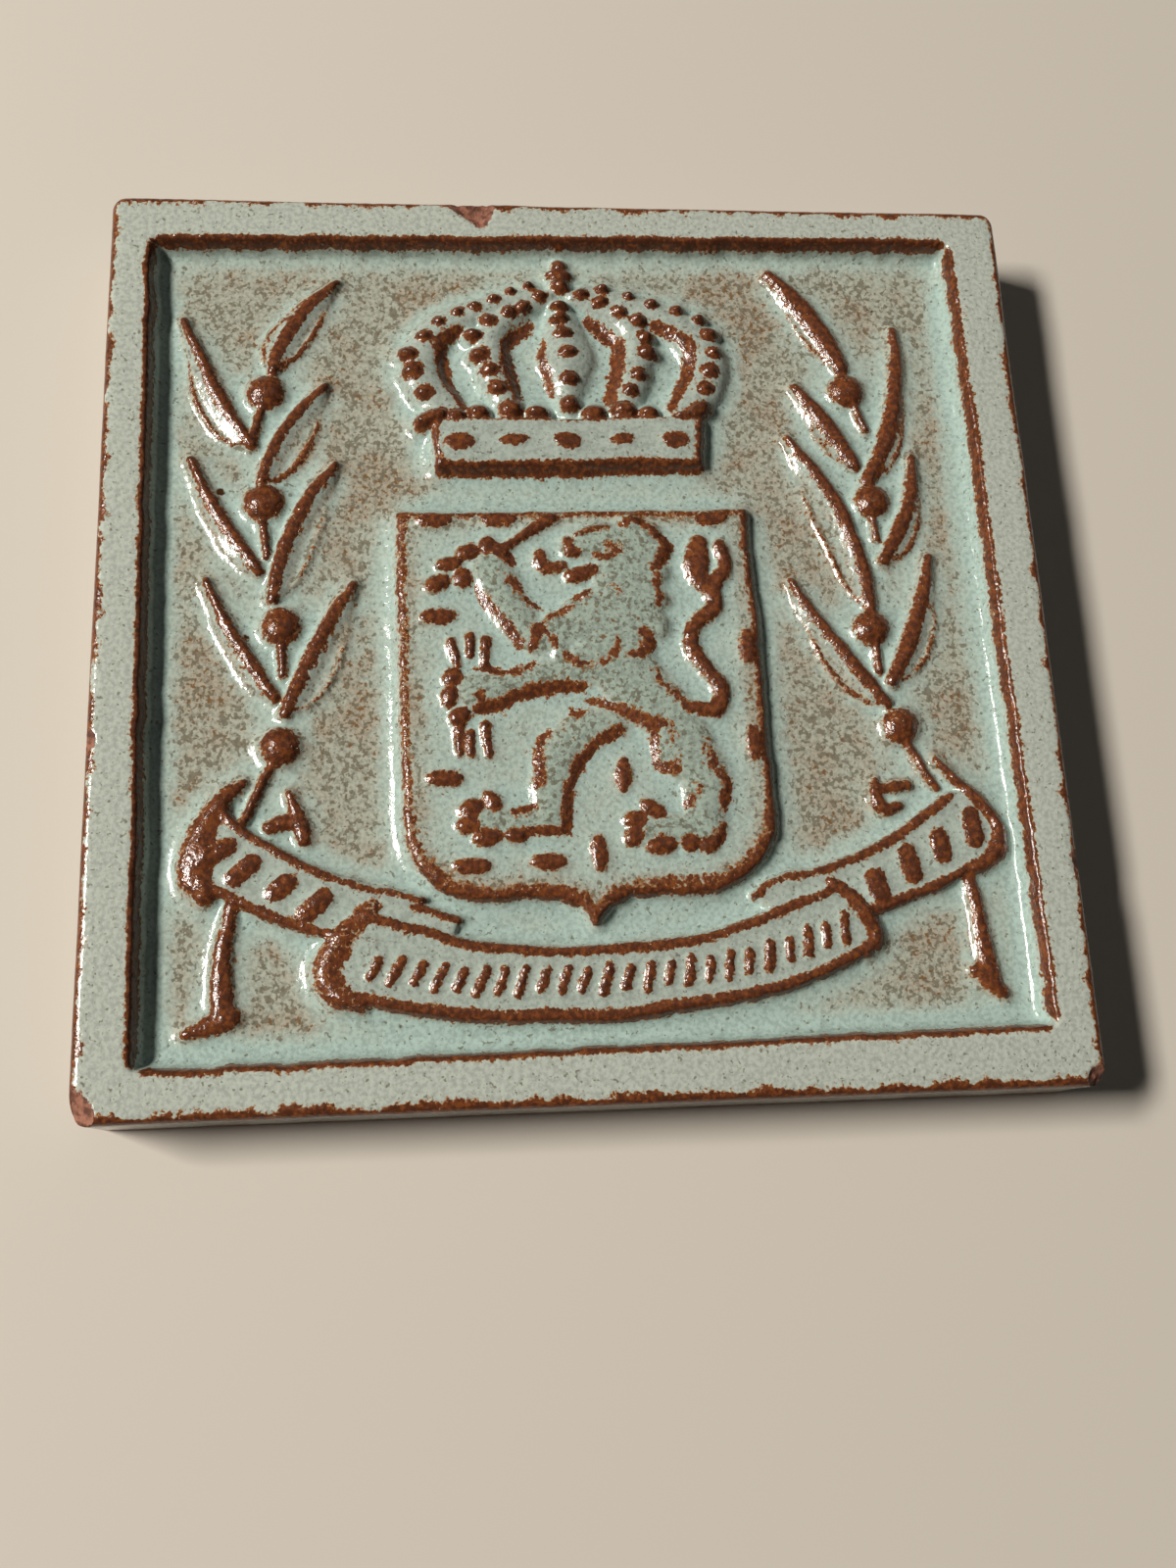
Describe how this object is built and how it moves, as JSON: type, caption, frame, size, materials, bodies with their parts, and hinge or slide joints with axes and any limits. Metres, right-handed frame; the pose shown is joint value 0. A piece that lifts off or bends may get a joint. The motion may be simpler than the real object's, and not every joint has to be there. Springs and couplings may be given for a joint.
{
  "type": "relief wall tile",
  "caption": "Square glazed stoneware wall tile with a raised rim and a crown, a lion shield, leafy branches and ribbons in relief.",
  "frame": {"origin": "centre of the back face", "axes": "+Z out of the relief face, +Y towards the crown, +X to the right of the design as seen from the front"},
  "size_m": [0.11, 0.11, 0.012],
  "materials": {
    "glazed_stoneware": "glossy pale green glaze, speckled, broken to rust brown on raised edges; bare clay back"
  },
  "bodies": {
    "root": {"tile": "glazed_stoneware"}
  },
  "joints": []
}
